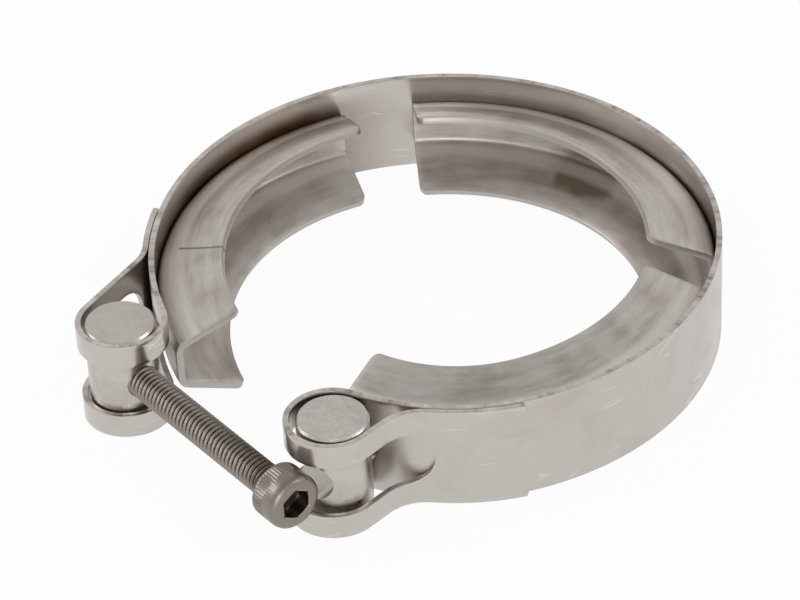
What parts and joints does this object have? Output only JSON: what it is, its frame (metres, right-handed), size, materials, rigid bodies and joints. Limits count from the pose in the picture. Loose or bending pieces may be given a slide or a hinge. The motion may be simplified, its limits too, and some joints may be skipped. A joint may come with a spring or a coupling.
{
  "type": "v band clamp",
  "caption": "Stainless V-band clamp: strap ring with V segments inside, looped ends round trunnions and a swing-out socket head screw to draw it shut.",
  "frame": {"origin": "centre of the ring on the groove's middle plane", "axes": "Z is the ring's axis, -Y points out through the gap between the trunnions, X runs from the threaded trunnion's side to the slotted one's"},
  "size_m": [0.1, 0.1157, 0.0194],
  "materials": {
    "strap": "rolled stainless strip, satin, lightly stained by heat",
    "segments": "pressed stainless sheet, satin with a granular bend",
    "trunnions": "turned stainless bar, fine turning marks on the ends",
    "screw": "plain stainless, knurled head"
  },
  "bodies": {
    "ring": {"strap": "strap", "left_segment": "segments", "back_segment": "segments", "front_segment": "segments"},
    "threaded_trunnion": {"threaded_trunnion": "trunnions"},
    "screw": {"screw": "screw"},
    "slotted_trunnion": {"slotted_trunnion": "trunnions"}
  },
  "joints": [
    {"name": "screw_swing", "type": "hinge", "parent": "ring", "child": "threaded_trunnion", "pos_m": [-0.0249, -0.05317, 0], "axis": [0, 0, 1], "range_deg": [-200, 0]},
    {"name": "screw_turn", "type": "hinge", "parent": "threaded_trunnion", "child": "screw", "pos_m": [-0.0249, -0.05317, 0], "axis": [0.9876, -0.1567, 0], "continuous": true},
    {"name": "slotted_trunnion_turn", "type": "hinge", "parent": "ring", "child": "slotted_trunnion", "pos_m": [0.021, -0.0487, 0], "axis": [0, 0, 1], "continuous": true}
  ]
}
